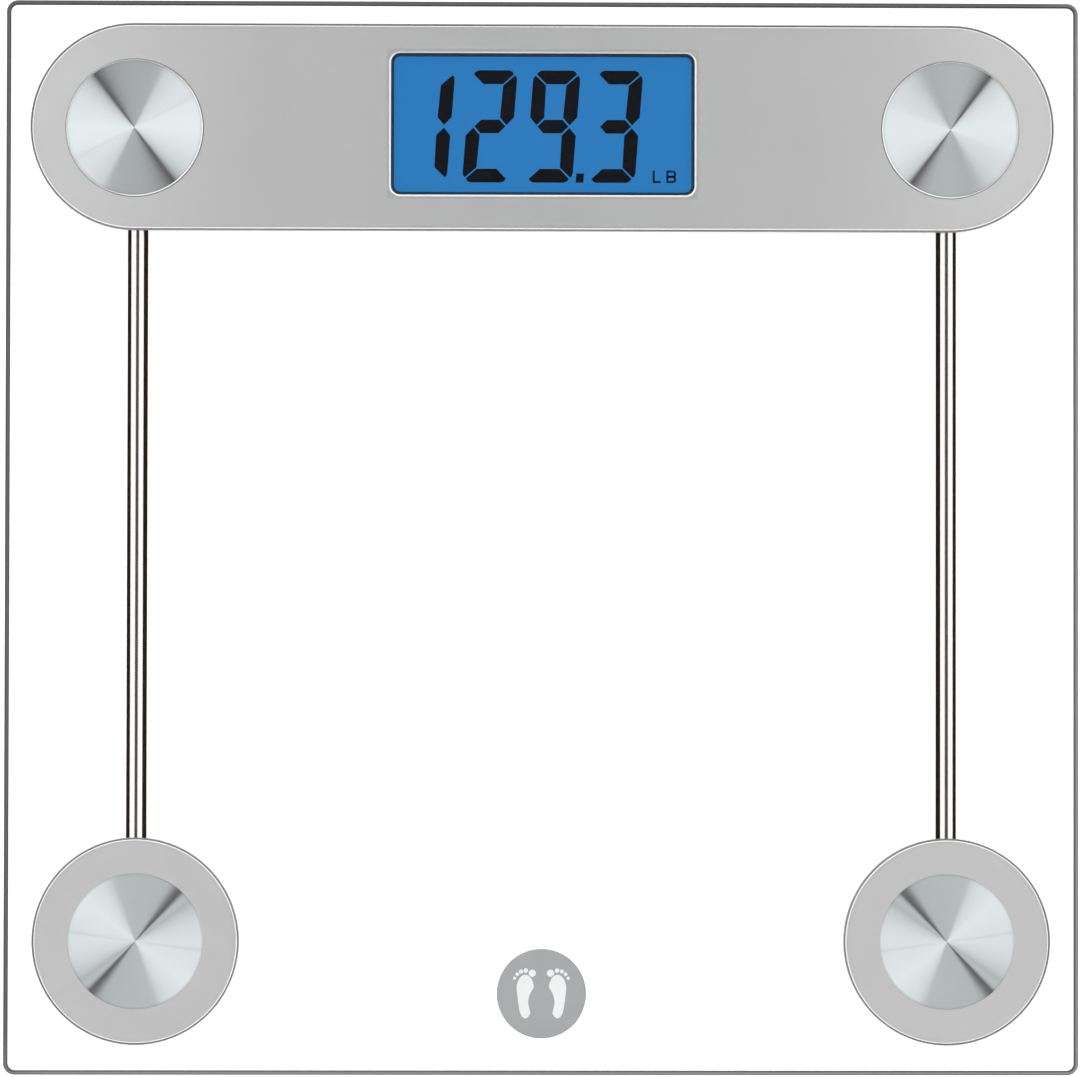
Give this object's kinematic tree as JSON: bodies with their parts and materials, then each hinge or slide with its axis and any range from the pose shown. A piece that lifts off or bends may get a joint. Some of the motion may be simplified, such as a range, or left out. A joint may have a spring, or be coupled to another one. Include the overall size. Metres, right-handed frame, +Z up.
{
  "type": "digital bathroom scale",
  "caption": "Square clear glass bathroom scale with a satin display bar, blue digital window, round rear modules, bright tubes and rubber-padded load-cell feet.",
  "frame": {"origin": "on the floor below the centre of the glass platform", "axes": "+X to the right, +Y from the user towards the display, +Z up"},
  "size_m": [0.3, 0.3, 0.024],
  "materials": {
    "clear_glass": "polished clear toughened glass",
    "clear_film": "clear adhesive",
    "badge_print": "grey screen-printed ink with a white pictogram",
    "satin_metal": "satin, bead-blasted, with a polished rolled edge",
    "bright_trim": "polished",
    "bright_tube": "polished tube",
    "spun_metal": "spun, with fine concentric grooves",
    "silver_moulding": "silver-coated moulding",
    "grey_moulding": "fine-textured moulding",
    "white_moulding": "white moulding",
    "lcd_glass": "blue backlit liquid-crystal cell",
    "light_guide": "clear acrylic light guide",
    "contact_rubber": "striped conductive rubber",
    "board_green": "solder-masked circuit board",
    "component_black": "black resin and moulding",
    "knob_black": "black moulding",
    "screw_steel": "zinc-plated",
    "cell_steel": "nickel-plated can",
    "contact_metal": "nickel-plated spring brass",
    "lead_red": "insulated wire",
    "cable_white": "insulated cable",
    "load_cell_steel": "nickel-plated spring steel",
    "pad_rubber": "soft anti-slip rubber"
  },
  "bodies": {
    "platform": {"glass_platform": "clear_glass", "printed_badge": "badge_print", "bond_films": "clear_film", "display_housing": "silver_moulding", "display_cover": "grey_moulding", "display_trim": "satin_metal", "display_bezel": "bright_trim", "lcd_cell": "lcd_glass", "lcd_light_guide": "light_guide", "lcd_holder": "white_moulding", "lcd_contact_strips": "contact_rubber", "display_board": "board_green", "board_components": "component_black", "board_screws": "screw_steel", "unit_switch_body": "component_black", "coin_cell_front": "cell_steel", "coin_cell_back": "cell_steel", "battery_contact_plus": "contact_metal", "battery_contact_minus": "contact_metal", "battery_bridge": "contact_metal", "battery_leads": "lead_red", "display_screws": "screw_steel", "load_frame_front_left": "load_cell_steel", "accent_disc_front_left": "spun_metal", "sensor_cable_front_left": "cable_white", "load_frame_front_right": "load_cell_steel", "accent_disc_front_right": "spun_metal", "sensor_cable_front_right": "cable_white", "load_frame_rear_left": "load_cell_steel", "accent_disc_rear_left": "spun_metal", "sensor_cable_rear_left": "cable_white", "load_frame_rear_right": "load_cell_steel", "accent_disc_rear_right": "spun_metal", "sensor_cable_rear_right": "cable_white", "rear_housing_left": "silver_moulding", "rear_cover_left": "grey_moulding", "rear_trim_left": "satin_metal", "rear_screws_left": "screw_steel", "rail_left": "bright_tube", "rear_housing_right": "silver_moulding", "rear_cover_right": "grey_moulding", "rear_trim_right": "satin_metal", "rear_screws_right": "screw_steel", "rail_right": "bright_tube"},
    "foot_front_left": {"foot_pad_front_left": "pad_rubber", "foot_cap_front_left": "grey_moulding", "load_beam_front_left": "load_cell_steel"},
    "foot_front_right": {"foot_pad_front_right": "pad_rubber", "foot_cap_front_right": "grey_moulding", "load_beam_front_right": "load_cell_steel"},
    "foot_rear_left": {"foot_pad_rear_left": "pad_rubber", "foot_cap_rear_left": "grey_moulding", "load_beam_rear_left": "load_cell_steel"},
    "foot_rear_right": {"foot_pad_rear_right": "pad_rubber", "foot_cap_rear_right": "grey_moulding", "load_beam_rear_right": "load_cell_steel"},
    "battery_door": {"battery_door": "grey_moulding"},
    "unit_switch_knob": {"unit_switch_knob": "knob_black"}
  },
  "joints": [
    {"name": "press_front_left", "type": "slide", "parent": "platform", "child": "foot_front_left", "axis": [0, 0, 1], "range_m": [0, 0.0008], "stiffness_N_per_m": 5000, "springref_m": -0.002},
    {"name": "press_front_right", "type": "slide", "parent": "platform", "child": "foot_front_right", "axis": [0, 0, 1], "range_m": [0, 0.0008], "stiffness_N_per_m": 5000, "springref_m": -0.002},
    {"name": "press_rear_left", "type": "slide", "parent": "platform", "child": "foot_rear_left", "axis": [0, 0, 1], "range_m": [0, 0.0008], "stiffness_N_per_m": 5000, "springref_m": -0.002},
    {"name": "press_rear_right", "type": "slide", "parent": "platform", "child": "foot_rear_right", "axis": [0, 0, 1], "range_m": [0, 0.0008], "stiffness_N_per_m": 5000, "springref_m": -0.002},
    {"name": "battery_door_hinge", "type": "hinge", "parent": "platform", "child": "battery_door", "pos_m": [0.074, 0.1372, 0.0073], "axis": [1, 0, 0], "range_deg": [0, 90]},
    {"name": "unit_switch_slide", "type": "slide", "parent": "platform", "child": "unit_switch_knob", "axis": [1, 0, 0], "range_m": [-0.002, 0.002]}
  ]
}
